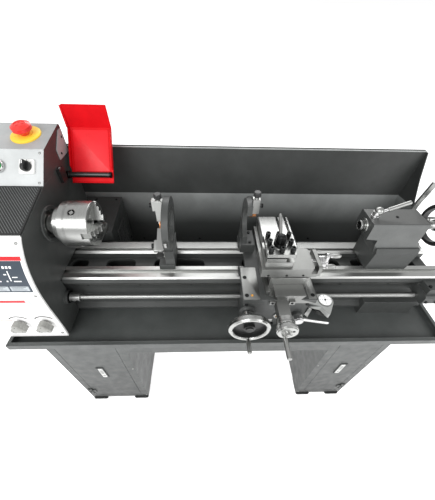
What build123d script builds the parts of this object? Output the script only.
from build123d import *
import math
import os

os.makedirs("parts", exist_ok=True)

# ---------------------------------------------------------------------------
# Driving dimensions, in millimetres.
#
# The row frame has its origin on the floor, at the centre of the outer floor
# bolts.  Most pieces are drawn in the machine frame, whose datum lies on the
# ways plane straight under the spindle axis: x runs along the bed to the
# tailstock, y runs to the back, z is height above the ways.
# ---------------------------------------------------------------------------
DATUM_X = -47.5
DATUM_Y = -40.0
WAYS_Z = 750.0
AXIS_H = 115.0  # spindle axis above the ways
SLIDE_GAP = 0.1  # gap between a slide and what it slides on
RUN_GAP = 0.05  # radial gap of a shaft in its bore
KEY_GAP = 0.02  # gap round a keyed hub, which keeps it a solid of its own

# stand
CABINET_FRONT = -108.0
CABINET_BACK = 188.0
CABINET_TOP = -150.0
CABINET_FOOT = -738.0
FLOOR = -WAYS_Z
SHEET = 2.0
BOLT_INSET = 30.0
BOLT_HOLE_R = 6.0

# tray and splash guard
TRAY_LEFT = -485.0
TRAY_RIGHT = 616.0
TRAY_FRONT = -167.0
TRAY_BACK = 236.0
TRAY_FLOOR = -145.0
TRAY_RIM = -128.0

# bed
BED_LEFT = -520.0
BED_RIGHT = 595.0
RAIL = 62.5

# headstock
HEAD_LEFT = -520.0
HEAD_RIGHT = -345.0
HEAD_WALL = 12.0
COVER_LEFT = -628.0
SPINDLE_R = 17.0
SPINDLE_BORE_R = 10.0
BEARING_R = 30.0

# leadscrew, gears and belt
SCREW_Y = -77.0
SCREW_Z = -54.0
SCREW_R = 6.5
SLEEVE_R = 12.0
MODULE = 2.0
SMALL_TEETH = 30
IDLER_TEETH = 64
PINION_TEETH = 8
BACKLASH = 0.5
MOTOR_Y = 148.0
MOTOR_Z = -60.0
WHEEL_X, WHEEL_Z = 93.0, -38.0  # carriage handwheel and its pinion


def machine(x, y, z):
    """Point of the machine frame, in the row frame."""
    return Vector(DATUM_X + x, DATUM_Y + y, WAYS_Z + z)


def across(x):
    """Plane across the bed: sketch axes run back and up, normal to the right."""
    return Plane(origin=machine(x, 0, 0), x_dir=(0, 1, 0), z_dir=(1, 0, 0))


def upright(y):
    """Plane along the bed: sketch axes run right and up, normal to the operator."""
    return Plane(origin=machine(0, y, 0), x_dir=(1, 0, 0), z_dir=(0, -1, 0))


def level(z):
    """Level plane: sketch axes run right and back, normal up."""
    return Plane(origin=machine(0, 0, z), x_dir=(1, 0, 0), z_dir=(0, 0, 1))


def block(x0, x1, y0, y1, z0, z1, mode=Mode.ADD):
    """Rectangular block between the given machine coordinates."""
    with BuildSketch(level(z0)) as outline:
        with Locations(((x0 + x1) / 2, (y0 + y1) / 2)):
            Rectangle(x1 - x0, y1 - y0)
    extrude(outline.sketch, amount=z1 - z0, mode=mode)


def rod(plane, centre, radius, length, mode=Mode.ADD):
    """Round bar standing on a plane."""
    with BuildSketch(plane) as outline:
        with Locations(centre):
            Circle(radius)
    extrude(outline.sketch, amount=length, mode=mode)


def prism(plane, points, length, mode=Mode.ADD):
    """Closed polygon on a plane, extruded along the plane's normal."""
    with BuildSketch(plane) as outline:
        with BuildLine():
            Polyline(*points, close=True)
        make_face()
    extrude(outline.sketch, amount=length, mode=mode)


def turned(origin, along, profile, mode=Mode.ADD):
    """Turned piece about the line from origin: profile holds (distance, radius)."""
    direction = Vector(*along).normalized()
    up = Vector(0, 0, 1) if abs(direction.Z) < 0.9 else Vector(1, 0, 0)
    plane = Plane(origin=origin, x_dir=direction, z_dir=direction.cross(up))
    with BuildSketch(plane) as outline:
        with BuildLine():
            Polyline(*profile, close=True)
        make_face()
    revolve(outline.sketch, axis=Axis(origin, direction), mode=mode)


def shaft(origin, along, steps, bore=0.0, mode=Mode.ADD):
    """Stepped shaft: steps holds (start, end, radius), each touching the next."""
    profile = [(steps[0][0], bore)]
    for start, end, radius in steps:
        profile.append((start, radius))
        profile.append((end, radius))
    profile.append((steps[-1][1], bore))
    turned(origin, along, profile, mode)


def save(piece, name):
    """Label a finished piece and write its STEP file."""
    piece.part.label = name
    export_step(piece.part, f"parts/{name}.step")


# ---------------------------------------------------------------------------
# Stand
# ---------------------------------------------------------------------------
LEFT_CABINET = (-478.0, -249.0, -456.0, -276.0)  # sides, then door opening
RIGHT_CABINET = (385.0, 573.0, 413.0, 550.0)
DOOR_TOP = -172.0
DOOR_FOOT = -716.0
DOOR_GAP = 1.2
HINGE_R = 3.2
PIN_R = 1.5
HINGE_OUT = 3.4  # hinge line in front of the cabinet
KNUCKLE = 24.0


def bolt_points(sides):
    """Floor bolt centres of one cabinet."""
    xs = (sides[0] + BOLT_INSET, sides[1] - BOLT_INSET)
    ys = (CABINET_FRONT + BOLT_INSET, CABINET_BACK - BOLT_INSET)
    return [(x, y) for x in xs for y in ys]


def hinge_line(sides):
    """Hinge side of a cabinet: its outer side. Returns x of the pin and the way to the door."""
    if sides is LEFT_CABINET:
        return sides[2] - 0.5, 1
    return sides[3] + 0.5, -1


def make_cabinet(sides, name):
    """Folded sheet cabinet, open at the front for its door, with hinge knuckles and pins."""
    left, right, door_left, door_right = sides
    pin_x, _ = hinge_line(sides)
    pin_y = CABINET_FRONT - HINGE_OUT
    with BuildPart() as cabinet:
        block(left, right, CABINET_FRONT, CABINET_BACK, CABINET_FOOT, CABINET_TOP)
        block(
            left + SHEET, right - SHEET, CABINET_FRONT + SHEET, CABINET_BACK - SHEET,
            CABINET_FOOT + SHEET, CABINET_TOP - SHEET, Mode.SUBTRACT,
        )
        block(
            door_left, door_right, CABINET_FRONT - 1, CABINET_FRONT + SHEET + 1,
            DOOR_FOOT, DOOR_TOP, Mode.SUBTRACT,
        )
        with BuildSketch(level(CABINET_FOOT - 1)) as holes:
            with Locations(*bolt_points(sides)):
                Circle(BOLT_HOLE_R)
        extrude(holes.sketch, amount=SHEET + 2, mode=Mode.SUBTRACT)
        for z in (DOOR_TOP - 60, DOOR_FOOT + 60):
            out = -1 if sides is LEFT_CABINET else 1
            x_low, x_high = sorted((pin_x, pin_x + out * 14))
            for end in (z - KNUCKLE / 2 - 8, z + KNUCKLE / 2 + 0.2):
                rod(level(end), (pin_x, pin_y), HINGE_R, 7.8)
                block(x_low, x_high, pin_y, CABINET_FRONT, end, end + 7.8)
            rod(level(z - KNUCKLE / 2 - 8), (pin_x, pin_y), PIN_R, KNUCKLE + 16)
    save(cabinet, name)


def make_door(sides, name):
    """Pan-folded door with a pull plate and two hinge knuckles."""
    _, _, opening_left, opening_right = sides
    left = opening_left + DOOR_GAP
    right = opening_right - DOOR_GAP
    top = DOOR_TOP - DOOR_GAP
    foot = DOOR_FOOT + DOOR_GAP
    back = CABINET_FRONT + SHEET
    pin_x, way = hinge_line(sides)
    pin_y = CABINET_FRONT - HINGE_OUT
    middle = (left + right) / 2
    pull_z = -466.0
    with BuildPart() as door:
        block(left, right, CABINET_FRONT, back, foot, top)
        inner = 14.0
        block(left + inner, right - inner, back, back + 10, foot + inner, top - inner)
        block(
            left + inner + SHEET, right - inner - SHEET, back, back + 11,
            foot + inner + SHEET, top - inner - SHEET, Mode.SUBTRACT,
        )
        block(middle - 12, middle + 12, CABINET_FRONT - 3, CABINET_FRONT, pull_z - 42, pull_z + 42)
        block(
            middle - 8, middle + 8, CABINET_FRONT - 4, CABINET_FRONT - 1.5,
            pull_z - 38, pull_z + 38, Mode.SUBTRACT,
        )
        for z in (DOOR_TOP - 60, DOOR_FOOT + 60):
            x_low, x_high = sorted((pin_x, pin_x + way * 14))
            block(x_low, x_high, pin_y, CABINET_FRONT, z - KNUCKLE / 2, z + KNUCKLE / 2)
            rod(level(z - KNUCKLE / 2), (pin_x, pin_y), HINGE_R, KNUCKLE)
            rod(level(z - KNUCKLE), (pin_x, pin_y), PIN_R + RUN_GAP, 2 * KNUCKLE, Mode.SUBTRACT)
    save(door, name)


make_cabinet(LEFT_CABINET, "left_cabinet")
make_cabinet(RIGHT_CABINET, "right_cabinet")
make_door(LEFT_CABINET, "left_door")
make_door(RIGHT_CABINET, "right_door")

with BuildPart() as stand_feet:
    pad_x, pad_y = 56.0, 70.0
    all_bolts = bolt_points(LEFT_CABINET) + bolt_points(RIGHT_CABINET)
    with BuildSketch(level(FLOOR)) as pads:
        with Locations(*all_bolts):
            RectangleRounded(pad_x, pad_y, 6)
    extrude(pads.sketch, amount=CABINET_FOOT - FLOOR)
    with BuildSketch(level(FLOOR - 1)) as holes:
        with Locations(*all_bolts):
            Circle(BOLT_HOLE_R)
    extrude(holes.sketch, amount=CABINET_FOOT - FLOOR + 2, mode=Mode.SUBTRACT)
save(stand_feet, "stand_feet")

with BuildPart() as stand_apron:
    apron_foot = -312.0
    block(LEFT_CABINET[1], RIGHT_CABINET[0], CABINET_FRONT, CABINET_FRONT + SHEET, apron_foot, CABINET_TOP)
    block(LEFT_CABINET[1], RIGHT_CABINET[0], CABINET_FRONT, CABINET_FRONT + 16, apron_foot, apron_foot + SHEET)
    block(
        LEFT_CABINET[1], RIGHT_CABINET[0], CABINET_FRONT, CABINET_FRONT + 16,
        CABINET_TOP - SHEET, CABINET_TOP,
    )
save(stand_apron, "stand_apron")

with BuildPart() as chip_tray:
    rim_lip = 8.0
    under = TRAY_FLOOR - SHEET
    block(TRAY_LEFT, TRAY_RIGHT, TRAY_FRONT, TRAY_BACK, under, TRAY_RIM)
    block(
        TRAY_LEFT + SHEET, TRAY_RIGHT - SHEET, TRAY_FRONT + SHEET, TRAY_BACK - SHEET,
        TRAY_FLOOR, TRAY_RIM - SHEET, Mode.SUBTRACT,
    )
    block(
        TRAY_LEFT + rim_lip, TRAY_RIGHT - rim_lip, TRAY_FRONT + rim_lip, TRAY_BACK - rim_lip,
        TRAY_FLOOR, TRAY_RIM + 1, Mode.SUBTRACT,
    )
    for sides in (LEFT_CABINET, RIGHT_CABINET):
        block(
            sides[0] + 6, sides[1] - 6, CABINET_FRONT + 6, CABINET_BACK - 6,
            CABINET_TOP, under,
        )
    for rail_y in (CABINET_FRONT, CABINET_BACK - 16):
        block(LEFT_CABINET[1] + 1, RIGHT_CABINET[0] - 1, rail_y + 3, rail_y + 13, CABINET_TOP, under)
save(chip_tray, "chip_tray")

BEND_Y, BEND_Z = 243.0, 40.0
GUARD_TOP_Y, GUARD_TOP_Z = 237.0, 185.0
GUARD_FOOT_Y = 222.0
with BuildPart() as splash_guard:
    prism(
        across(TRAY_LEFT + 10),
        [
            (GUARD_FOOT_Y, TRAY_FLOOR), (BEND_Y, BEND_Z), (GUARD_TOP_Y, GUARD_TOP_Z),
            (GUARD_TOP_Y + 11, GUARD_TOP_Z + 2), (GUARD_TOP_Y + 11, GUARD_TOP_Z),
            (GUARD_TOP_Y + 2.2, GUARD_TOP_Z - 2), (BEND_Y + 2, BEND_Z), (GUARD_FOOT_Y + 2, TRAY_FLOOR),
        ],
        TRAY_RIGHT - TRAY_LEFT - 10,
    )
    prism(
        across(TRAY_RIGHT - SHEET),
        [
            (GUARD_FOOT_Y, TRAY_RIM), (BEND_Y, BEND_Z), (GUARD_TOP_Y, GUARD_TOP_Z),
            (GUARD_TOP_Y - 6, GUARD_TOP_Z + 1), (203, 117), (167, 47), (87, TRAY_RIM),
        ],
        SHEET,
    )
    block(TRAY_RIGHT - 9, TRAY_RIGHT + 1, 80, 240, TRAY_FLOOR, TRAY_RIM + 0.1, Mode.SUBTRACT)
save(splash_guard, "splash_guard")

# ---------------------------------------------------------------------------
# Bed
# ---------------------------------------------------------------------------
FRONT_RAIL = [
    (-RAIL, -20), (-RAIL, -5), (-59, -1), (-47, -1), (-42, -8), (-36, -8), (-36, 0), (-25, 0),
    (-25, -22), (-38, -30), (-38, -112), (-30, -118), (-30, -125), (-66, -125), (-66, -118),
    (-54, -112), (-54, -20),
]
REAR_RAIL = [
    (RAIL, -20), (RAIL, 0), (39, 0), (39, -8), (36, -8), (31, -1), (29, -1), (25, -7),
    (25, -22), (38, -30), (38, -112), (30, -118), (30, -125), (66, -125), (66, -118),
    (54, -112), (54, -20),
]
WEB_OPENINGS = [(-430, 90), (-332, 44), (-226, 75), (-74, 132), (150, 118), (320, 70), (430, 84), (535, 60)]
BED_FEET = [(-475, -360, 66), (422, 570, 75)]  # left, right, half width
RACK_TEETH = 136
RACK_TEETH_LEFT = 67  # rack teeth to the left of the carriage pinion
with BuildPart() as bed:
    prism(across(BED_LEFT), FRONT_RAIL, BED_RIGHT - BED_LEFT)
    prism(across(BED_LEFT), REAR_RAIL, BED_RIGHT - BED_LEFT)
    block(BED_LEFT, BED_RIGHT, -39, 39, -32, -24)
    with BuildSketch(level(-33)) as openings:
        for centre, length in WEB_OPENINGS:
            with Locations((centre, 0)):
                RectangleRounded(length, 44, 16)
    extrude(openings.sketch, amount=12, mode=Mode.SUBTRACT)
    for rib in (BED_LEFT, -385, -285, -170, 20, 245, 368, 484, BED_RIGHT - 10):
        block(rib, rib + 10, -39, 39, -118, -30)
    for foot_left, foot_right, half_width in BED_FEET:
        block(foot_left, foot_right, -half_width, half_width, TRAY_FLOOR, -92)
        block(foot_left + 12, foot_right - 12, -60, 60, TRAY_FLOOR, -110, Mode.SUBTRACT)
        block(foot_left + 12, foot_right - 12, -38, 38, -111, -32, Mode.SUBTRACT)
    # the rack stays a solid of its own under the front way
    rack_pitch = math.pi * MODULE
    pitch_z = WHEEL_Z + MODULE * PINION_TEETH / 2
    lean = math.tan(math.radians(20))
    half_tooth = (rack_pitch / 2 - BACKLASH) / 2
    first = WHEEL_X + rack_pitch * (0.5 - RACK_TEETH_LEFT)
    rack_outline = [(first - 6, -22), (first - 6, pitch_z + 2.5)]
    for tooth in range(RACK_TEETH):
        x = first + tooth * rack_pitch
        root = half_tooth + 2.5 * lean
        tip = half_tooth - lean
        rack_outline.append((x - root, pitch_z + 2.5))
        rack_outline.append((x - tip, pitch_z - 1))
        rack_outline.append((x + tip, pitch_z - 1))
        rack_outline.append((x + root, pitch_z + 2.5))
    rack_outline.append((x + 6, pitch_z + 2.5))
    rack_outline.append((x + 6, -22))
    prism(upright(-54 - KEY_GAP), rack_outline, 9)
save(bed, "bed")


# ---------------------------------------------------------------------------
# Headstock
# ---------------------------------------------------------------------------
FRONT_CURVE = [(-142, -127.5), (-139, -7), (-131, 71), (-113.5, 125), (-94, 157)]
PLATE_T = 4.0
TOP_FRONT = (-90.0, 157.0)
TOP_BACK = (33.0, 188.0)
HEAD_BACK = 185.0
BOX_RIDGE = (88.0, 242.0)
BOX_CREST = (181.0, 262.0)
MAT_T = 2.5
SELECTOR_X = (-430.0, -373.0)
SELECTOR_Z = -66.0
GUARD_ROD = (137.4, 157.7)
GUARD_ROD_R = 6.5


def shifted(points, dy):
    """The same points moved back by dy."""
    return [(y + dy, z) for y, z in points]


def plane_on(y0, z0, y1, z1, x, distance):
    """Sloping plane through two (y, z) points, its origin at x and some way up the slope."""
    length = math.hypot(y1 - y0, z1 - z0)
    rise = (z1 - z0) / length
    run = (y1 - y0) / length
    start = machine(x, y0 + run * distance, z0 + rise * distance)
    return Plane(origin=start, x_dir=(1, 0, 0), z_dir=(0, -rise, run))


with BuildPart() as front_fascia:
    with BuildSketch(across(HEAD_LEFT)) as outline:
        with BuildLine():
            outer = Spline(*FRONT_CURVE)
            inner = Spline(*shifted(FRONT_CURVE, PLATE_T))
            Line(outer @ 0, inner @ 0)
            Line(outer @ 1, inner @ 1)
        make_face()
    extrude(outline.sketch, amount=HEAD_RIGHT - HEAD_LEFT)
    for x in SELECTOR_X:
        rod(upright(-100), (x, SELECTOR_Z), 5 + RUN_GAP, 50, Mode.SUBTRACT)
save(front_fascia, "front_fascia")

with BuildPart() as headstock_casting:
    with BuildSketch(across(HEAD_LEFT)) as outline:
        with BuildLine():
            front = Spline(*shifted(FRONT_CURVE, PLATE_T))
            Polyline(
                front @ 1, TOP_BACK, (HEAD_BACK, 188), (HEAD_BACK, 46), (68, 46), (68, 0), (-66, 0),
                (-66, -127.5), front @ 0,
            )
        make_face()
    extrude(outline.sketch, amount=HEAD_RIGHT - HEAD_LEFT)
    inside_left = HEAD_LEFT + HEAD_WALL
    inside_right = HEAD_RIGHT - HEAD_WALL
    block(inside_left, inside_right, -82, 60, 16, 140, Mode.SUBTRACT)
    block(inside_left, inside_right, 60, 173, 58, 176, Mode.SUBTRACT)
    block(inside_left, inside_right, -122, -72, -118, -12, Mode.SUBTRACT)
    rod(across(HEAD_LEFT), (0, AXIS_H), BEARING_R, HEAD_RIGHT - HEAD_LEFT, Mode.SUBTRACT)
    rod(across(HEAD_LEFT - 1), (SCREW_Y, SCREW_Z), SCREW_R + RUN_GAP, 180, Mode.SUBTRACT)
    rod(across(HEAD_RIGHT), (SCREW_Y, SCREW_Z), 17, 7)
    rod(across(HEAD_RIGHT - 20), (SCREW_Y, SCREW_Z), SCREW_R + RUN_GAP, 40, Mode.SUBTRACT)
    rod(across(HEAD_RIGHT - 9), GUARD_ROD, GUARD_ROD_R + RUN_GAP, 10, Mode.SUBTRACT)
    for x in SELECTOR_X:
        rod(upright(-110), (x, SELECTOR_Z), 5 + RUN_GAP, 40, Mode.SUBTRACT)
    # stud that carries the idler gear
    distance = math.hypot(SCREW_Y, AXIS_H - SCREW_Z)
    mesh = MODULE * (SMALL_TEETH + IDLER_TEETH) / 2
    aside = math.sqrt(mesh ** 2 - (distance / 2) ** 2)
    toward = (SCREW_Y / distance, (SCREW_Z - AXIS_H) / distance)
    IDLER = (
        SCREW_Y / 2 + toward[1] * aside,
        (AXIS_H + SCREW_Z) / 2 - toward[0] * aside,
    )
    rod(across(HEAD_LEFT - 70), IDLER, 8, 70)
save(headstock_casting, "headstock_casting")

with BuildPart() as top_mat:
    slope = plane_on(*TOP_FRONT, *TOP_BACK, (HEAD_LEFT + HEAD_RIGHT) / 2, 63)
    with BuildSketch(slope.offset(0.6)) as outline:
        RectangleRounded(HEAD_RIGHT - HEAD_LEFT - 3, 122, 5)
    extrude(outline.sketch, amount=MAT_T)
save(top_mat, "top_mat")

BUTTON_UP = 40.0  # controls up the sloping front of the box
START_X = -436.5
SWITCH_X = -376.8
ESTOP_X = -398.7
ESTOP_UP = 49.6
START_R = 10.0
KNOB_STEM_R = 4.0
ESTOP_STEM_R = 9.0
ESTOP_FOOT = 8.2  # underside of the mushroom head above the box
ESTOP_HEAD = 27.0
SWITCH_BOX_T = 7.5


def box_front(x):
    """Plane on the control box's sloping front."""
    return plane_on(*TOP_BACK, *BOX_RIDGE, x, BUTTON_UP)


def box_top(x):
    """Plane on the control box's top."""
    return plane_on(*BOX_RIDGE, *BOX_CREST, x, ESTOP_UP)


BOX_OUTLINE = [TOP_BACK, BOX_RIDGE, BOX_CREST, (HEAD_BACK, 258), (HEAD_BACK, 188)]
with BuildPart() as control_box:
    prism(across(HEAD_LEFT), BOX_OUTLINE, HEAD_RIGHT - HEAD_LEFT)
    with BuildSketch(across(HEAD_LEFT + SHEET)) as hollow:
        with BuildLine():
            Polyline(*BOX_OUTLINE, close=True)
        make_face()
        offset(amount=-SHEET)
    extrude(hollow.sketch, amount=HEAD_RIGHT - HEAD_LEFT - 2 * SHEET, mode=Mode.SUBTRACT)
    for x, radius in ((START_X, START_R), (SWITCH_X, KNOB_STEM_R)):
        rod(box_front(x).offset(-6), (0, 0), radius + RUN_GAP, 12, Mode.SUBTRACT)
    rod(box_top(ESTOP_X).offset(-6), (0, 0), ESTOP_STEM_R + RUN_GAP, 12, Mode.SUBTRACT)
save(control_box, "control_box")

with BuildPart() as switch_fittings:
    rod(box_front(START_X), (0, 0), 14, 6)
    rod(box_front(START_X).offset(-1), (0, 0), START_R + RUN_GAP, 8, Mode.SUBTRACT)
    with BuildSketch(box_front(SWITCH_X)) as plate:
        RectangleRounded(30, 30, 3)
    extrude(plate.sketch, amount=5)
    rod(box_front(SWITCH_X).offset(-1), (0, 0), KNOB_STEM_R + RUN_GAP, 8, Mode.SUBTRACT)
    rod(box_top(ESTOP_X), (0, 0), 31, 2)
    rod(box_top(ESTOP_X), (0, 0), 14, ESTOP_FOOT - 4.4)
    rod(box_top(ESTOP_X).offset(-1), (0, 0), ESTOP_STEM_R + RUN_GAP, 8, Mode.SUBTRACT)
    # the guard's switch box on the headstock's side
    block(HEAD_RIGHT, HEAD_RIGHT + SWITCH_BOX_T, 98, 120, 158, 190)
    fillet(switch_fittings.edges().filter_by(Axis.X).group_by(Axis.Y)[-1], 4)
    rod(level(190), (HEAD_RIGHT + SWITCH_BOX_T / 2, 109), 3, 2)
save(switch_fittings, "switch_fittings")

with BuildPart() as start_button:
    rod(box_front(START_X).offset(-5), (0, 0), START_R, 14)
    fillet(start_button.edges().filter_by(GeomType.CIRCLE).sort_by(Axis.Z)[-1], 1.5)
save(start_button, "start_button")

with BuildPart() as direction_knob:
    rod(box_front(SWITCH_X).offset(-5), (0, 0), KNOB_STEM_R, 13)
    rod(box_front(SWITCH_X).offset(5.3), (0, 0), 11, 4)
    with BuildSketch(box_front(SWITCH_X).offset(9)) as grip:
        RectangleRounded(6, 22, 2.5)
    extrude(grip.sketch, amount=9)
save(direction_knob, "direction_knob")

with BuildPart() as estop_button:
    rod(box_top(ESTOP_X).offset(-5), (0, 0), ESTOP_STEM_R, ESTOP_HEAD - 4)
    head_plane = box_top(ESTOP_X)
    turned(
        head_plane.origin, tuple(head_plane.z_dir),
        [
            (ESTOP_FOOT, 0), (ESTOP_FOOT, 13), (12, 16), (15, 20), (ESTOP_HEAD - 4, 20),
            (ESTOP_HEAD - 1, 15), (ESTOP_HEAD, 0),
        ],
    )
save(estop_button, "estop_button")

for number, x in enumerate(SELECTOR_X, start=1):
    with BuildPart() as selector:
        hub_y = -143.0
        rod(upright(-118), (x, SELECTOR_Z), 5, 30)
        rod(upright(hub_y), (x, SELECTOR_Z), 12, 16)
        with BuildSketch(upright(hub_y - 3)) as lobes:
            with Locations((x, SELECTOR_Z)):
                with PolarLocations(11, 3, start_angle=90):
                    Circle(7.5)
        extrude(lobes.sketch, amount=13)
    save(selector, f"selector_knob_{number}")

BEARING_W = HEAD_WALL - 1
with BuildPart() as spindle_bearings:
    for x in (HEAD_LEFT, HEAD_RIGHT - BEARING_W):
        rod(across(x), (0, AXIS_H), BEARING_R, BEARING_W)
    rod(across(HEAD_LEFT - 1), (0, AXIS_H), SPINDLE_R + RUN_GAP, 200, Mode.SUBTRACT)
save(spindle_bearings, "spindle_bearings")

# ---------------------------------------------------------------------------
# Belt, gears, motor and covers
# ---------------------------------------------------------------------------
PULLEY_LEFT, PULLEY_RIGHT = -561.0, -535.0
BELT_MIDDLE = -548.0
BELT_W = 8.0
GEAR_LEFT = -586.0
GEAR_W = 12.0
SPINDLE_PITCH_R = 39.0
MOTOR_PITCH_R = 21.0
BELT_T = 6.0


def gear_outline(teeth, module, phase):
    """Corners of an involute gear with one tooth centred on the phase angle, in degrees."""
    pitch_r = module * teeth / 2
    base_r = pitch_r * math.cos(math.radians(20))
    tip_r = pitch_r + 0.9 * module
    root_r = pitch_r - 1.25 * module
    start_r = max(base_r, root_r)

    def roll(radius):
        slip = math.sqrt((radius / base_r) ** 2 - 1)
        return slip - math.atan(slip)

    half = (math.pi * module / 2 - BACKLASH) / 2 / pitch_r
    steps = 4
    flank = []
    for step in range(steps + 1):
        radius = start_r + (tip_r - start_r) * step / steps
        flank.append((radius, half + roll(pitch_r) - roll(radius)))
    one = flank if root_r >= base_r else [(root_r, flank[0][1])] + flank
    corners = []
    for tooth in range(teeth):
        middle = math.radians(phase) + 2 * math.pi * tooth / teeth
        for radius, angle in one:
            corners.append((radius, middle - angle))
        for radius, angle in reversed(one):
            corners.append((radius, middle + angle))
    return [(r * math.cos(a), r * math.sin(a)) for r, a in corners]


def gear(plane, centre, teeth, phase, bore_r, width):
    """Gear on a plane, about a centre given in the plane's axes."""
    corners = gear_outline(teeth, MODULE, phase)
    points = [(centre[0] + u, centre[1] + v) for u, v in corners]
    with BuildSketch(plane) as outline:
        with BuildLine():
            Polyline(*points, close=True)
        make_face()
        with Locations(centre):
            Circle(bore_r, mode=Mode.SUBTRACT)
    extrude(outline.sketch, amount=width)


def pulley(centre, pitch_r, bore_r):
    """V pulley whose belt groove lies round the belt's middle plane."""
    origin = machine(0, centre[0], centre[1])
    rim_r = pitch_r + BELT_T
    turned(
        origin, (1, 0, 0),
        [
            (PULLEY_LEFT, bore_r), (PULLEY_LEFT, rim_r), (BELT_MIDDLE - 7, rim_r),
            (BELT_MIDDLE - 5, pitch_r - 1), (BELT_MIDDLE + 5, pitch_r - 1), (BELT_MIDDLE + 7, rim_r),
            (PULLEY_RIGHT, rim_r), (PULLEY_RIGHT, bore_r),
        ],
    )


SPINDLE_C = (0, AXIS_H)
SCREW_C = (SCREW_Y, SCREW_Z)
MOTOR_C = (MOTOR_Y, MOTOR_Z)
first_mesh = math.degrees(math.atan2(IDLER[1] - AXIS_H, IDLER[0]))
second_mesh = math.degrees(math.atan2(SCREW_Z - IDLER[1], SCREW_Y - IDLER[0]))
idler_phase = first_mesh + 180 + 180 / IDLER_TEETH
slip_angle = (second_mesh - idler_phase) % (360 / IDLER_TEETH)
screw_phase = second_mesh + 180 + slip_angle * IDLER_TEETH / SMALL_TEETH + 180 / SMALL_TEETH

SPINDLE_END = -600.0
FLANGE_X = -337.0
BACKPLATE_X = -323.0
CHUCK_X = -300.0
CHUCK_FACE = -248.0
CHUCK_R = 50.0
CHUCK_HOLE_R = 11.0

with BuildPart() as spindle:
    axis_origin = machine(0, 0, AXIS_H)
    shaft(
        axis_origin, (1, 0, 0),
        [
            (SPINDLE_END, HEAD_RIGHT + 2, SPINDLE_R), (HEAD_RIGHT + 2, FLANGE_X, 21),
            (FLANGE_X, BACKPLATE_X, 25),
        ],
        SPINDLE_BORE_R,
    )
    pulley(SPINDLE_C, SPINDLE_PITCH_R, SPINDLE_R + KEY_GAP)
    gear(across(GEAR_LEFT), SPINDLE_C, SMALL_TEETH, first_mesh, SPINDLE_R + KEY_GAP, GEAR_W)
save(spindle, "spindle")

with BuildPart() as idler_gear:
    gear(across(GEAR_LEFT), IDLER, IDLER_TEETH, idler_phase, 8 + RUN_GAP, GEAR_W)
    with BuildSketch(across(GEAR_LEFT - 1)) as lightening:
        with Locations(IDLER):
            with PolarLocations(34, 6):
                Circle(11)
    extrude(lightening.sketch, amount=GEAR_W + 2, mode=Mode.SUBTRACT)
save(idler_gear, "idler_gear")

with BuildPart() as drive_belt:
    inner_x = BELT_MIDDLE - BELT_W / 2
    with BuildSketch(across(inner_x)) as outside:
        with Locations(SPINDLE_C):
            Circle(SPINDLE_PITCH_R + BELT_T)
        with Locations(MOTOR_C):
            Circle(MOTOR_PITCH_R + BELT_T)
        make_hull()
    extrude(outside.sketch, amount=BELT_W)
    with BuildSketch(across(inner_x - 1)) as inside:
        with Locations(SPINDLE_C):
            Circle(SPINDLE_PITCH_R)
        with Locations(MOTOR_C):
            Circle(MOTOR_PITCH_R)
        make_hull()
    extrude(inside.sketch, amount=BELT_W + 2, mode=Mode.SUBTRACT)
save(drive_belt, "drive_belt")

MOTOR_LEFT, MOTOR_RIGHT, MOTOR_R = -500.0, -290.0, 52.0
MOTOR_SHAFT_R = 9.5
with BuildPart() as motor:
    rod(across(MOTOR_LEFT), MOTOR_C, MOTOR_R - 4, MOTOR_RIGHT - MOTOR_LEFT)
    for end in (MOTOR_LEFT, MOTOR_RIGHT - 16):
        rod(across(end), MOTOR_C, MOTOR_R, 16)
    with BuildSketch(across(MOTOR_LEFT + 20)) as fins:
        with Locations(MOTOR_C):
            with PolarLocations(MOTOR_R - 3, 24):
                Rectangle(7, 2.4)
    extrude(fins.sketch, amount=MOTOR_RIGHT - MOTOR_LEFT - 40)
    block(MOTOR_LEFT + 40, MOTOR_RIGHT - 40, MOTOR_Y - 44, MOTOR_Y + 44, TRAY_FLOOR, MOTOR_Z - 40)
    rod(across(MOTOR_LEFT - 1), MOTOR_C, MOTOR_SHAFT_R + RUN_GAP, 41, Mode.SUBTRACT)
save(motor, "motor")

with BuildPart() as motor_pulley:
    rod(across(PULLEY_LEFT - 4), MOTOR_C, MOTOR_SHAFT_R, MOTOR_LEFT + 36 - PULLEY_LEFT + 4)
    pulley(MOTOR_C, MOTOR_PITCH_R, MOTOR_SHAFT_R - 1)
save(motor_pulley, "motor_pulley")

MOTOR_BOX = [(78, -127), (78, 22), (218, 40), (218, -127)]
MOTOR_BOX_LEFT, MOTOR_BOX_RIGHT = -518.0, -258.0
COVER_PIN = (-524.0, 223.0)
COVER_KNUCKLES = ((-100, -94), (-6, 0))
with BuildPart() as motor_cover:
    prism(across(MOTOR_BOX_LEFT), MOTOR_BOX, MOTOR_BOX_RIGHT - MOTOR_BOX_LEFT)
    with BuildSketch(across(MOTOR_BOX_LEFT - 1)) as hollow:
        with BuildLine():
            Polyline((80, TRAY_FLOOR - 1), (80, 20), (216, 37.5), (216, TRAY_FLOOR - 1), close=True)
        make_face()
    extrude(hollow.sketch, amount=MOTOR_BOX_RIGHT - MOTOR_BOX_LEFT - 1, mode=Mode.SUBTRACT)
    for low, high in COVER_KNUCKLES:
        block(-521, -505, 217, 227, low, high)
        block(-528, -521, 218.4, 227, low, high)
    rod(level(COVER_KNUCKLES[0][0]), COVER_PIN, 2, COVER_KNUCKLES[1][1] - COVER_KNUCKLES[0][0])
save(motor_cover, "motor_cover")

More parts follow.
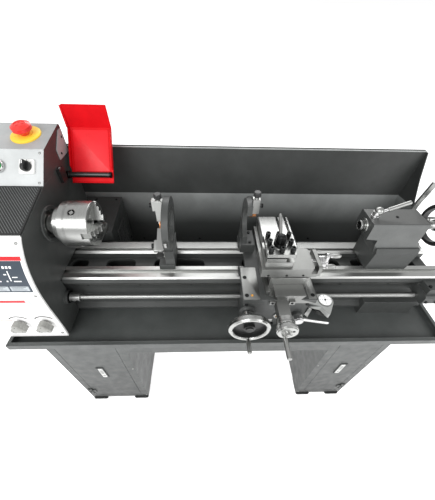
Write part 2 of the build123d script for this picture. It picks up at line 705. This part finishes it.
COVER_OUTLINE = [
    (-131, -138), (-128, 60), (-104, 128), (-85, 156), (33, 186), (182, 186), (218, 120), (218, -138),
]
COVER_T = 3.0
COVER_OPEN = HEAD_LEFT - 2
with BuildPart() as belt_cover:
    prism(across(COVER_LEFT), COVER_OUTLINE, COVER_OPEN - COVER_LEFT)
    fillet(belt_cover.faces().sort_by(Axis.X)[0].edges(), 8)
    with BuildSketch(across(COVER_LEFT + COVER_T)) as hollow:
        with BuildLine():
            Polyline(*COVER_OUTLINE, close=True)
        make_face()
        offset(amount=-COVER_T, kind=Kind.INTERSECTION)
    extrude(hollow.sketch, amount=COVER_OPEN - COVER_LEFT, mode=Mode.SUBTRACT)
    rod(across(COVER_LEFT - 1), SPINDLE_C, 14, 8, Mode.SUBTRACT)
    for low, high in COVER_KNUCKLES:
        block(-532, -520, 214, 219, low - 3, high + 3, Mode.SUBTRACT)
    rod(level(-93), COVER_PIN, 4, 86)
    block(-540, -525, 217, 221, -93, -7)
    rod(level(-110), COVER_PIN, 2 + RUN_GAP, 120, Mode.SUBTRACT)
save(belt_cover, "belt_cover")

# ---------------------------------------------------------------------------
# Chuck
# ---------------------------------------------------------------------------
JAW_ANGLES = (174, 54, 294)
JAW_W = 14.0
JAW_SLOT_X = CHUCK_FACE - 14
JAW_IN = 8.0
JAW_STEPS = [(-243, 46), (-238, 38), (-234, 29), (-229, 20)]  # end of each step, its outer radius


def chuck_plane(angle, distance):
    """Plane facing out of the chuck along a radius: its x axis runs along the spindle."""
    out_y = math.cos(math.radians(angle))
    out_z = math.sin(math.radians(angle))
    origin = machine(0, out_y * distance, AXIS_H + out_z * distance)
    return Plane(origin=origin, x_dir=(1, 0, 0), z_dir=(0, out_y, out_z))


def radial(angle, x0, x1, width, r0, r1, mode=Mode.ADD):
    """Block along a radius of the spindle axis."""
    with BuildSketch(chuck_plane(angle, r0)) as outline:
        with Locations(((x0 + x1) / 2, 0)):
            Rectangle(x1 - x0, width)
    extrude(outline.sketch, amount=r1 - r0, mode=mode)


with BuildPart() as chuck_body:
    shaft(machine(0, 0, AXIS_H), (1, 0, 0), [(CHUCK_X, CHUCK_FACE, CHUCK_R)], CHUCK_HOLE_R)
    chamfer(chuck_body.edges().filter_by(GeomType.CIRCLE).sort_by(Axis.X)[-1], 1)
    for angle in JAW_ANGLES:
        radial(angle, JAW_SLOT_X, CHUCK_FACE + 1, JAW_W + SLIDE_GAP, 5, CHUCK_R + 2, Mode.SUBTRACT)
        with BuildSketch(chuck_plane(angle - 60, CHUCK_R - 22)) as key_hole:
            with Locations(((CHUCK_X + CHUCK_FACE) / 2 - 5, 0)):
                Circle(7)
                Rectangle(7, 7, rotation=45, mode=Mode.SUBTRACT)
        extrude(key_hole.sketch, amount=24, mode=Mode.SUBTRACT)
    # the back plate is a solid of its own, one key gap behind the body
    plate_end = CHUCK_X - KEY_GAP
    shaft(
        machine(0, 0, AXIS_H), (1, 0, 0),
        [(BACKPLATE_X, plate_end - 8, 38), (plate_end - 8, plate_end, CHUCK_R)], CHUCK_HOLE_R,
    )
save(chuck_body, "chuck_body")

for number, angle in enumerate(JAW_ANGLES, start=1):
    with BuildPart() as jaw:
        start = JAW_SLOT_X + SLIDE_GAP
        for end, reach in JAW_STEPS:
            radial(angle, start, end, JAW_W - SLIDE_GAP, JAW_IN, reach)
            start = end
    save(jaw, f"jaw_{number}")

# ---------------------------------------------------------------------------
# Chuck guard
# ---------------------------------------------------------------------------
GUARD_LEFT, GUARD_RIGHT = -337.0, -236.0
LEAN = (0.6, 0.8)  # the raised panel's way up, leaning back
PANEL_FOOT = (133.0, 141.0)
PANEL_LENGTH = 128.0
PANEL_T = 2.5
FLANGE_RISE = 52.0


def on_panel(up, out):
    """Point up the guard panel and out from its inner face."""
    y = PANEL_FOOT[0] + LEAN[0] * up - LEAN[1] * out
    z = PANEL_FOOT[1] + LEAN[1] * up + LEAN[0] * out
    return (y, z)


with BuildPart() as chuck_guard:
    bend_in = on_panel(PANEL_LENGTH, 0)
    bend_out = on_panel(PANEL_LENGTH + 1, -PANEL_T)
    prism(
        across(GUARD_LEFT),
        [
            on_panel(0, 0), bend_in, (bend_in[0] - 2, bend_in[1] + FLANGE_RISE),
            (bend_in[0] + 0.5, bend_in[1] + FLANGE_RISE), bend_out, on_panel(0, -PANEL_T),
        ],
        GUARD_RIGHT - GUARD_LEFT,
    )
    for x in (GUARD_LEFT, GUARD_RIGHT - PANEL_T):
        prism(
            across(x),
            [
                on_panel(28, -1), on_panel(36, 9), on_panel(PANEL_LENGTH - 8, 9), bend_in,
                on_panel(PANEL_LENGTH, -1),
            ],
            PANEL_T,
        )
    block(GUARD_LEFT, GUARD_RIGHT, 131, 134.5, 138.4, 141.2)
save(chuck_guard, "chuck_guard")

with BuildPart() as guard_rod:
    rod(across(HEAD_RIGHT - 8), GUARD_ROD, GUARD_ROD_R, GUARD_RIGHT - 4 - HEAD_RIGHT + 8)
    for x in (-318, -258):
        prism(
            across(x), [on_panel(10, 0), on_panel(22, 0), on_panel(22, 5), on_panel(10, 5)], 10,
        )
save(guard_rod, "guard_rod")

# ---------------------------------------------------------------------------
# Leadscrew and its end bracket
# ---------------------------------------------------------------------------
SCREW_LEFT, SCREW_RIGHT = -592.0, 598.0
with BuildPart() as leadscrew:
    shaft(
        machine(0, SCREW_Y, SCREW_Z), (1, 0, 0),
        [
            (SCREW_LEFT, -335, SCREW_R), (-335, -311, SLEEVE_R), (-311, 584, SCREW_R),
            (584, SCREW_RIGHT, SCREW_R - 1.5),
        ],
    )
    for x in (-329, -317):
        rod(upright(SCREW_Y - SLEEVE_R + 2), (x, SCREW_Z), 2.5, 3.5)
    gear(across(GEAR_LEFT), SCREW_C, SMALL_TEETH, screw_phase, SCREW_R + KEY_GAP, GEAR_W)
save(leadscrew, "leadscrew")

with BuildPart() as leadscrew_bracket:
    block(540, 583, -103, -RAIL, -62, -30)
    block(544, 579, -94, -RAIL, -30, -12)
    block(540, 583, -RAIL, -54, -58, -24)
    fillet(leadscrew_bracket.edges().filter_by(Axis.X).sort_by(Axis.Y)[:2], 8)
    rod(across(539), SCREW_C, SCREW_R + RUN_GAP, 50, Mode.SUBTRACT)
save(leadscrew_bracket, "leadscrew_bracket")

# ---------------------------------------------------------------------------
# Carriage
# ---------------------------------------------------------------------------
SADDLE_LEFT, SADDLE_RIGHT = 78.0, 244.0
APRON_RIGHT = 235.0
SADDLE_TOP = 14.0
SLIDE_MIDDLE = 180.0
SLIDE_HALF = 42.0
WAY_TOP = 28.0
CROSS_Z = 3.0  # cross screw axis
CROSS_X = 163.0
LEVER_X, LEVER_Z = 213.0, -52.0
DIAL_WHEEL_R = 25.0  # worm wheel of the thread dial, which runs on the leadscrew
DIAL_X = 282.0
DIAL_Y = SCREW_Y - SCREW_R - 0.5 - DIAL_WHEEL_R
DIAL_TOP = -30.0
DIAL_R = 16.0
DIAL_TIP = 34.0  # reach of the housing's point towards the operator


def dovetail(half_low, half_high, z0, z1):
    """Corners of a dovetail about the slide's middle, wider at the top."""
    return [
        (SLIDE_MIDDLE - half_low, z0), (SLIDE_MIDDLE + half_low, z0),
        (SLIDE_MIDDLE + half_high, z1), (SLIDE_MIDDLE - half_high, z1),
    ]


with BuildPart() as saddle:
    low = SLIDE_GAP
    block(SADDLE_LEFT, SADDLE_RIGHT, -136, -41, low, SADDLE_TOP)
    block(SADDLE_LEFT + 14, SADDLE_RIGHT - 14, -41, 38, low, SADDLE_TOP)
    block(SADDLE_LEFT + 4, SADDLE_RIGHT - 4, 38, 76, low, SADDLE_TOP)
    block(SADDLE_LEFT + 4, SADDLE_RIGHT - 4, RAIL + SLIDE_GAP, 76, -28, low)
    fillet(saddle.edges().filter_by(Axis.Z), 3)
    prism(upright(76), dovetail(26, 34, SADDLE_TOP, WAY_TOP), 212)
    block(SLIDE_MIDDLE - SLIDE_HALF - 10, SLIDE_MIDDLE - SLIDE_HALF - 1.5, -124, 98, SADDLE_TOP, WAY_TOP)
    block(CROSS_X - 13, CROSS_X + 13, -178, -136, -9, 13)
    for tab in (CROSS_X - 27, CROSS_X + 17):
        block(tab, tab + 13, -141, -136, 1, 13)
    for x in (SADDLE_LEFT + 9, SADDLE_RIGHT - 9):
        for y in (-124, -73):
            rod(level(SADDLE_TOP - 7), (x, y), 5, 8, Mode.SUBTRACT)
    rod(upright(-130), (CROSS_X, CROSS_Z), 6 + RUN_GAP, 50, Mode.SUBTRACT)
save(saddle, "saddle")

with BuildPart() as apron:
    block(SADDLE_LEFT + 3, APRON_RIGHT, -130, -70, -106, 0)
    fillet(apron.edges().filter_by(Axis.Z).group_by(Axis.Y)[0], 5)
    block(SADDLE_LEFT + 6, APRON_RIGHT - 8, -118, -69, -98, -8, Mode.SUBTRACT)
    rod(across(SADDLE_LEFT), SCREW_C, SCREW_R + 2, 170, Mode.SUBTRACT)
    rod(upright(-129), (WHEEL_X, WHEEL_Z), 16, 8)
    rod(upright(-129), (LEVER_X, LEVER_Z), 13, 9)
    rod(upright(-110), (WHEEL_X, WHEEL_Z), 7 + RUN_GAP, 40, Mode.SUBTRACT)
    rod(upright(-110), (LEVER_X, LEVER_Z), 6 + RUN_GAP, 40, Mode.SUBTRACT)
    with BuildSketch(level(DIAL_TOP - 16)) as housing:
        with Locations((DIAL_X, DIAL_Y)):
            Circle(DIAL_R + 4)
        with Locations((APRON_RIGHT + 4, DIAL_Y + 2)):
            Rectangle(14, 16)
        make_hull()
    extrude(housing.sketch, amount=16)
    with BuildSketch(level(DIAL_TOP - 16)) as point:
        with Locations((DIAL_X, DIAL_Y)):
            Circle(DIAL_R + 4)
        with Locations((DIAL_X, DIAL_Y - DIAL_TIP)):
            Circle(3)
        make_hull()
    extrude(point.sketch, amount=16)
    rod(level(DIAL_TOP - 17), (DIAL_X, DIAL_Y), 4 + RUN_GAP, 18, Mode.SUBTRACT)
    rod(level(DIAL_TOP - 8), (DIAL_X, DIAL_Y), DIAL_R + 0.5, 9, Mode.SUBTRACT)
save(apron, "apron")

with BuildPart() as thread_dial:
    rod(level(SCREW_Z - 8), (DIAL_X, DIAL_Y), 4, DIAL_TOP - 5 - SCREW_Z + 8)
    rod(level(DIAL_TOP - 7.8), (DIAL_X, DIAL_Y), DIAL_R, 10)
    with BuildSketch(level(SCREW_Z - 6)) as worm_wheel:
        with Locations((DIAL_X, DIAL_Y)):
            Circle(DIAL_WHEEL_R)
            with PolarLocations(DIAL_WHEEL_R, 30):
                Rectangle(2.4, 2.6, mode=Mode.SUBTRACT)
    extrude(worm_wheel.sketch, amount=12)
save(thread_dial, "thread_dial")

RIM_R = 47.0
with BuildPart() as carriage_handwheel:
    hub = machine(WHEEL_X, 0, WHEEL_Z)
    shaft(
        hub, (0, -1, 0),
        [
            (66, 100, 5.5), (100, 137.2, 7), (137.2, 165, 13), (165, 170, RIM_R - 9), (170, 178, 13),
            (178, 181, 9),
        ],
    )
    corners = gear_outline(PINION_TEETH, MODULE, 90)
    prism(upright(-55), [(WHEEL_X + u, WHEEL_Z + v) for u, v in corners], 8)
    rod(upright(-62), (WHEEL_X, WHEEL_Z), 5, 5)
    turned(
        hub, (0, -1, 0),
        [
            (164, RIM_R - 10), (166, RIM_R - 2), (170, RIM_R), (179, RIM_R), (182, RIM_R - 3),
            (182, RIM_R - 7), (179, RIM_R - 10),
        ],
    )
    shaft(
        machine(WHEEL_X + 1, 0, WHEEL_Z - RIM_R + 6), (0, -1, 0),
        [(175, 186, 3.5), (186, 213, 5), (213, 215, 4)],
    )
save(carriage_handwheel, "carriage_handwheel")

with BuildPart() as half_nut_lever:
    shaft(
        machine(LEVER_X, 0, LEVER_Z), (0, -1, 0),
        [(119, 138.2, 6), (138.2, 151, 12.5), (151, 154, 10)],
    )
    shaft(
        machine(LEVER_X + 8, -146, LEVER_Z), (1, 0, -0.26),
        [(0, 70, 4), (70, 72, 3)],
    )
save(half_nut_lever, "half_nut_lever")

SLIDE_TOP = 50.0
with BuildPart() as cross_slide:
    slide_low = SADDLE_TOP + SLIDE_GAP
    block(SLIDE_MIDDLE - SLIDE_HALF, SLIDE_MIDDLE + SLIDE_HALF, -104, 112, slide_low, SLIDE_TOP)
    prism(
        upright(113), dovetail(26 + SLIDE_GAP, 34.4 + SLIDE_GAP, SADDLE_TOP, WAY_TOP + 0.4), 244,
        Mode.SUBTRACT,
    )
    chamfer(cross_slide.edges().filter_by(Axis.Y).group_by(Axis.Z)[-1], 3)
    for x in (SLIDE_MIDDLE + 10, SLIDE_MIDDLE + 32):
        block(x - 3.5, x + 3.5, -28, 113, SLIDE_TOP - 8, SLIDE_TOP + 1, Mode.SUBTRACT)
        block(x - 6.5, x + 6.5, -28, 113, SLIDE_TOP - 14, SLIDE_TOP - 7, Mode.SUBTRACT)
save(cross_slide, "cross_slide")

with BuildPart() as cross_handwheel:
    shaft(
        machine(CROSS_X, 0, CROSS_Z), (0, -1, 0),
        [
            (132, 178.2, 6), (178.2, 193, 19.5), (193, 196, 16), (196, 199, 21), (199, 206, 22.5),
            (206, 209, 21), (209, 211, 9),
        ],
    )
    shaft(
        machine(CROSS_X - 3.5, 0, CROSS_Z - 16), (0, -1, 0),
        [(205, 212, 3.5), (212, 254, 5), (254, 256, 4)],
    )
save(cross_handwheel, "cross_handwheel")

# ---------------------------------------------------------------------------
# Compound slide and toolpost
# ---------------------------------------------------------------------------
POST_X, POST_Y = 150.0, -71.0
TOP_LEFT, TOP_RIGHT = 114.0, 228.0
TOP_FRONT_Y, TOP_BACK_Y = -106.0, -42.0
BASE_Z, BASE_TOP, TOP_Z = 58.0, 66.0, 80.0
CRANK_Z = 71.0
with BuildPart() as compound_base:
    rod(level(SLIDE_TOP), (POST_X, POST_Y), 34, BASE_Z - SLIDE_TOP)
    block(TOP_LEFT, TOP_RIGHT + 8, TOP_FRONT_Y, TOP_BACK_Y, BASE_Z - 2, BASE_TOP)
    prism(
        across(TOP_LEFT),
        [(POST_Y - 15, BASE_TOP), (POST_Y + 9, BASE_TOP), (POST_Y + 13, 73), (POST_Y - 19, 73)],
        TOP_RIGHT + 8 - TOP_LEFT,
    )
    block(TOP_RIGHT + 8, TOP_RIGHT + 16, TOP_FRONT_Y + 2, TOP_BACK_Y - 2, BASE_Z - 2, TOP_Z + 3)
    fillet(compound_base.edges().filter_by(Axis.X).group_by(Axis.Z)[-1], 6)
    rod(across(TOP_RIGHT - 30), (POST_Y - 3, CRANK_Z), 5 + RUN_GAP, 50, Mode.SUBTRACT)
save(compound_base, "compound_base")

with BuildPart() as top_slide:
    block(TOP_LEFT, TOP_RIGHT, TOP_FRONT_Y, TOP_BACK_Y, BASE_TOP + SLIDE_GAP, TOP_Z)
    prism(
        across(TOP_LEFT - 1),
        [
            (POST_Y - 15.2, BASE_TOP), (POST_Y + 9.2, BASE_TOP), (POST_Y + 13.4, 73.3),
            (POST_Y - 19.4, 73.3),
        ],
        TOP_RIGHT - TOP_LEFT + 2, Mode.SUBTRACT,
    )
    rod(across(TOP_RIGHT - 35), (POST_Y - 3, CRANK_Z), 6, 40, Mode.SUBTRACT)
    fillet(top_slide.edges().filter_by(Axis.Z).group_by(Axis.X)[-1], 8)
    rod(level(TOP_Z), (POST_X, POST_Y), 8, 44)
save(top_slide, "top_slide")

with BuildPart() as top_slide_crank:
    crank_x = TOP_RIGHT + 16.2
    shaft(
        machine(0, POST_Y - 3, CRANK_Z), (1, 0, 0),
        [(crank_x - 40, crank_x, 5), (crank_x, crank_x + 13, 15), (crank_x + 13, crank_x + 20, 9)],
    )
    with BuildSketch(across(crank_x + 13)) as arm:
        with Locations((POST_Y - 3, CRANK_Z)):
            SlotOverall(48, 13, rotation=90)
    extrude(arm.sketch, amount=6)
    for side in (-17, 17):
        shaft(
            machine(crank_x + 17, POST_Y - 3, CRANK_Z + side), (1, 0, 0),
            [(0, 6, 3), (6, 26, 4.5), (26, 29, 3)],
        )
save(top_slide_crank, "top_slide_crank")

POST_HALF = 30.0
POST_FOOT, POST_TOP = TOP_Z + SLIDE_GAP, 120.0
SLOT_LOW, SLOT_HIGH = 97.0, 111.0
BOLT_STEPS = (-22, 0, 22)
POST_BOLTS = [(POST_X + u, POST_Y + v) for u in BOLT_STEPS for v in BOLT_STEPS if (u, v) != (0, 0)]
TOOL_BOLT_R = 4.0
with BuildPart() as toolpost:
    block(
        POST_X - POST_HALF, POST_X + POST_HALF, POST_Y - POST_HALF, POST_Y + POST_HALF,
        POST_FOOT, POST_TOP,
    )
    chamfer(toolpost.edges().filter_by(Axis.Z), 2)
    with BuildSketch(level(SLOT_LOW)) as slots:
        with Locations((POST_X, POST_Y)):
            Rectangle(80, 80)
            Rectangle(34, 34, mode=Mode.SUBTRACT)
    extrude(slots.sketch, amount=SLOT_HIGH - SLOT_LOW, mode=Mode.SUBTRACT)
    rod(level(TOP_Z - 1), (POST_X, POST_Y), 8 + RUN_GAP, 60, Mode.SUBTRACT)
    with BuildSketch(level(SLOT_HIGH - 1)) as threads:
        with Locations(*POST_BOLTS):
            Circle(TOOL_BOLT_R)
    extrude(threads.sketch, amount=20, mode=Mode.SUBTRACT)
save(toolpost, "toolpost")

with BuildPart() as toolpost_bolts:
    with BuildSketch(level(SLOT_HIGH - 3)) as shanks:
        with Locations(*POST_BOLTS):
            Circle(TOOL_BOLT_R)
    extrude(shanks.sketch, amount=14)
    with BuildSketch(level(POST_TOP + 2)) as heads:
        with Locations(*POST_BOLTS):
            Circle(5.2)
    extrude(heads.sketch, amount=11)
    with BuildSketch(level(POST_TOP + 8)) as sockets:
        with Locations(*POST_BOLTS):
            RegularPolygon(2.8, 6)
    extrude(sockets.sketch, amount=6, mode=Mode.SUBTRACT)
save(toolpost_bolts, "toolpost_bolts")

with BuildPart() as toolpost_lever:
    lever_base = machine(POST_X, POST_Y, POST_TOP)
    shaft(lever_base, (0, 0, 1), [(0.2, 8, 13), (8, 22, 10), (22, 25, 7)])
    rod(Plane(origin=lever_base), (0, 0), 8 + RUN_GAP, 4.5, Mode.SUBTRACT)
    shaft(
        machine(POST_X, POST_Y + 4, POST_TOP + 15), (0.05, 0.86, 0.5),
        [(0, 50, 3.6), (50, 53, 2.6)],
    )
save(toolpost_lever, "toolpost_lever")

# ---------------------------------------------------------------------------
# Rests
# ---------------------------------------------------------------------------


def rest_ring(plane, inner, outer, depth):
    """Ring about the spindle axis."""
    with BuildSketch(plane) as outline:
        with Locations(SPINDLE_C):
            Circle(outer)
            Circle(inner, mode=Mode.SUBTRACT)
    extrude(outline.sketch, amount=depth)


FINGER_W = 16.0
FINGER_T = 14.0
FINGER_SLOT_R = 4.2


def finger(angle, x0, x1, tip_r, end_r):
    """Sliding finger bar with a slot for its clamp screw and a stem for its knob."""
    middle = (x0 + x1) / 2
    radial(angle, x0, x1, FINGER_T, tip_r + 9, end_r)
    radial(angle, x0 + 4, x1 - 4, 8, tip_r, tip_r + 9)
    with BuildSketch(chuck_plane(angle, end_r)) as stem:
        with Locations((middle, 0)):
            Circle(5)
    extrude(stem.sketch, amount=14)


def finger_slot(angle, x, inner, outer):
    """Slot along a finger, across the spindle."""
    length = outer - inner + 2 * FINGER_SLOT_R
    reach = (inner + outer) / 2
    centre = (
        reach * math.cos(math.radians(angle)),
        AXIS_H + reach * math.sin(math.radians(angle)),
    )
    with BuildSketch(across(x)) as slot:
        with Locations(Location(centre)):
            SlotOverall(length, 2 * FINGER_SLOT_R, rotation=angle)
    extrude(slot.sketch, amount=40, mode=Mode.SUBTRACT)


def finger_screw(angle, x, reach, length):
    """Clamp screw of a finger, standing on the ring."""
    centre = (
        reach * math.cos(math.radians(angle)),
        AXIS_H + reach * math.sin(math.radians(angle)),
    )
    rod(across(x), centre, FINGER_SLOT_R - 0.2, length)


STEADY_LEFT, STEADY_RIGHT = -95.0, -81.0
STEADY_RING = 51.0
STEADY_ANGLES = (90, 210, 330)
with BuildPart() as steady_rest:
    rest_ring(across(STEADY_LEFT), 40, 62, STEADY_RIGHT - STEADY_LEFT)
    prism(
        across(STEADY_LEFT - 6),
        [(-35, SLIDE_GAP), (34, SLIDE_GAP), (30, 30), (34, 60), (-34, 60), (-30, 30)], 22,
    )
    with BuildSketch(across(STEADY_LEFT - 7)) as clear:
        with Locations(SPINDLE_C):
            Circle(63)
    extrude(clear.sketch, amount=7, mode=Mode.SUBTRACT)
    with BuildSketch(across(STEADY_LEFT - 1)) as window:
        with Locations(SPINDLE_C):
            Circle(40)
    extrude(window.sketch, amount=30, mode=Mode.SUBTRACT)
    block(STEADY_LEFT - 22, STEADY_RIGHT, -35, 34, SLIDE_GAP, 16)
    block(STEADY_LEFT - 12, STEADY_RIGHT - 2, -24, 22, -20, SLIDE_GAP)
    for angle in STEADY_ANGLES:
        finger_screw(angle, STEADY_LEFT - 20, STEADY_RING, 22)
save(steady_rest, "steady_rest")

for number, angle in enumerate(STEADY_ANGLES, start=1):
    with BuildPart() as steady_finger:
        finger(angle, STEADY_LEFT - FINGER_W, STEADY_LEFT - SLIDE_GAP, 4, 63)
        finger_slot(angle, STEADY_LEFT - FINGER_W - 2, 36, 56)
    save(steady_finger, f"steady_finger_{number}")

FOLLOW_LEFT, FOLLOW_RIGHT = 84.0, 95.0
FOLLOW_SCREW = 52.0  # clamp screws' distance from the spindle axis
FOLLOW_ANGLES = (90, 10)
with BuildPart() as follow_rest:
    with BuildSketch(across(FOLLOW_LEFT)) as outline:
        with Locations(SPINDLE_C):
            Circle(60)
            Circle(38, mode=Mode.SUBTRACT)
            with Locations((-45, -55)):
                Rectangle(90, 140, mode=Mode.SUBTRACT)
            with Locations((-70, 0)):
                Rectangle(110, 160, mode=Mode.SUBTRACT)
        with Locations((52, 52)):
            Rectangle(26, 76)
        with Locations(SPINDLE_C):
            Circle(38, mode=Mode.SUBTRACT)
    extrude(outline.sketch, amount=FOLLOW_RIGHT - FOLLOW_LEFT)
    block(FOLLOW_LEFT - 1, 118, 10, 66, SADDLE_TOP, 40)
    for angle in FOLLOW_ANGLES:
        finger_screw(angle, FOLLOW_LEFT, FOLLOW_SCREW, FOLLOW_RIGHT + 19 - FOLLOW_LEFT)
save(follow_rest, "follow_rest")

for number, angle in enumerate(FOLLOW_ANGLES, start=1):
    with BuildPart() as follow_finger:
        finger(angle, FOLLOW_RIGHT + SLIDE_GAP, FOLLOW_RIGHT + FINGER_W - 1, 26, 70)
        finger_slot(angle, FOLLOW_RIGHT - 1, FOLLOW_SCREW - 9, FOLLOW_SCREW + 7)
    save(follow_finger, f"follow_finger_{number}")

# ---------------------------------------------------------------------------
# Tailstock
# ---------------------------------------------------------------------------
TAIL_LEFT, TAIL_RIGHT = 362.0, 489.0
SOLE_LEFT, SOLE_RIGHT = 398.0, 502.0
TAIL_TOP = 140.0
QUILL_R = 12.0
SOLE_TOP = 71.0
QUILL_NOSE, QUILL_END = 350.0, 476.0
TAIL_SHAFT_R = 8.0
LOCK_X = 374.0
CLAMP_X, CLAMP_Z = 498.0, 62.0
with BuildPart() as tailstock:
    prism(
        upright(31),
        [
            (SOLE_LEFT, 50), (SOLE_RIGHT, 50), (SOLE_RIGHT - 6, 84), (TAIL_RIGHT, 90), (TAIL_RIGHT, TAIL_TOP),
            (TAIL_LEFT, TAIL_TOP), (TAIL_LEFT, 98), (SOLE_LEFT - 8, 94), (SOLE_LEFT - 8, 80),
        ],
        62,
    )
    fillet(tailstock.edges().filter_by(Axis.X).group_by(Axis.Z)[-1], 5)
    prism(
        across(SOLE_LEFT),
        [
            (-36, SLIDE_GAP), (37, SLIDE_GAP), (38, SOLE_TOP - 12), (35, SOLE_TOP), (-35, SOLE_TOP),
            (-40, SOLE_TOP - 12),
        ],
        SOLE_RIGHT - SOLE_LEFT,
    )
    block(SOLE_LEFT + 10, SOLE_RIGHT - 10, -24, 22, -20, SLIDE_GAP)
    rod(across(TAIL_LEFT - 1), SPINDLE_C, QUILL_R + RUN_GAP, 481 - TAIL_LEFT, Mode.SUBTRACT)
    rod(across(TAIL_LEFT), SPINDLE_C, TAIL_SHAFT_R + RUN_GAP, 150, Mode.SUBTRACT)
    rod(level(TAIL_TOP - 8.8), (LOCK_X, -3), 5 + RUN_GAP, 12, Mode.SUBTRACT)
    rod(upright(42), (CLAMP_X - 8, CLAMP_Z - 14), 9, 5)
    rod(upright(50), (CLAMP_X - 8, CLAMP_Z - 14), 5 + RUN_GAP, 20, Mode.SUBTRACT)
save(tailstock, "tailstock")

with BuildPart() as quill:
    shaft(
        machine(0, 0, AXIS_H), (1, 0, 0),
        [(QUILL_NOSE, QUILL_END, QUILL_R)],
    )
    chamfer(quill.edges().filter_by(GeomType.CIRCLE).sort_by(Axis.X)[0], 1.5)
    turned(
        machine(0, 0, AXIS_H), (1, 0, 0),
        [(QUILL_NOSE - 1, 0), (QUILL_NOSE - 1, 9), (QUILL_NOSE + 66, 7.2), (QUILL_NOSE + 66, 0)],
        Mode.SUBTRACT,
    )
    rod(across(QUILL_END - 56), SPINDLE_C, TAIL_SHAFT_R + 1, 60, Mode.SUBTRACT)
save(quill, "quill")

TAIL_WHEEL_X = 536.0
with BuildPart() as tailstock_handwheel:
    axis_start = machine(0, 0, AXIS_H)
    shaft(
        axis_start, (1, 0, 0),
        [
            (QUILL_END - 50, TAIL_RIGHT + 0.2, TAIL_SHAFT_R), (TAIL_RIGHT + 0.2, 508, 14),
            (508, 530, 10), (530, 543, 13), (543, 548, 7),
        ],
    )
    turned(
        axis_start, (1, 0, 0),
        [
            (TAIL_WHEEL_X - 7, 39), (TAIL_WHEEL_X - 7, 46), (TAIL_WHEEL_X - 3, 49),
            (TAIL_WHEEL_X + 3, 49), (TAIL_WHEEL_X + 7, 46), (TAIL_WHEEL_X + 7, 39),
        ],
    )
    with BuildSketch(across(TAIL_WHEEL_X - 3)) as spokes:
        with Locations(SPINDLE_C):
            with PolarLocations(26, 3, start_angle=90):
                Rectangle(32, 10)
    extrude(spokes.sketch, amount=6)
    shaft(
        machine(0, 40, AXIS_H - 14), (1, 0, 0),
        [(TAIL_WHEEL_X + 4, TAIL_WHEEL_X + 14, 3.5), (TAIL_WHEEL_X + 14, TAIL_WHEEL_X + 54, 6)],
    )
save(tailstock_handwheel, "tailstock_handwheel")

with BuildPart() as quill_lock_lever:
    shaft(
        machine(LOCK_X, -3, TAIL_TOP), (0, 0, 1),
        [(-8.5, 0.2, 5), (0.2, 6, 9), (6, 16, 8), (16, 20, 5)],
    )
    shaft(
        machine(LOCK_X + 3, -3, TAIL_TOP + 11), (1, 0.12, 0.36),
        [(0, 24, 3.2), (24, 68, 4), (68, 72, 3)],
    )
save(quill_lock_lever, "quill_lock_lever")

with BuildPart() as tailstock_clamp_lever:
    pivot_x, pivot_z = CLAMP_X - 8, CLAMP_Z - 14
    rod(upright(47.5), (pivot_x, pivot_z), 5, 10)
    with BuildSketch(upright(47.5)) as strip:
        with BuildLine():
            Polyline(
                (pivot_x - 9, pivot_z - 9), (pivot_x + 9, pivot_z - 9), (pivot_x + 15, pivot_z + 100),
                (pivot_x + 24, pivot_z + 150), (pivot_x + 12, pivot_z + 153), (pivot_x + 4, pivot_z + 100),
                close=True,
            )
        make_face()
    extrude(strip.sketch, amount=5)
save(tailstock_clamp_lever, "tailstock_clamp_lever")
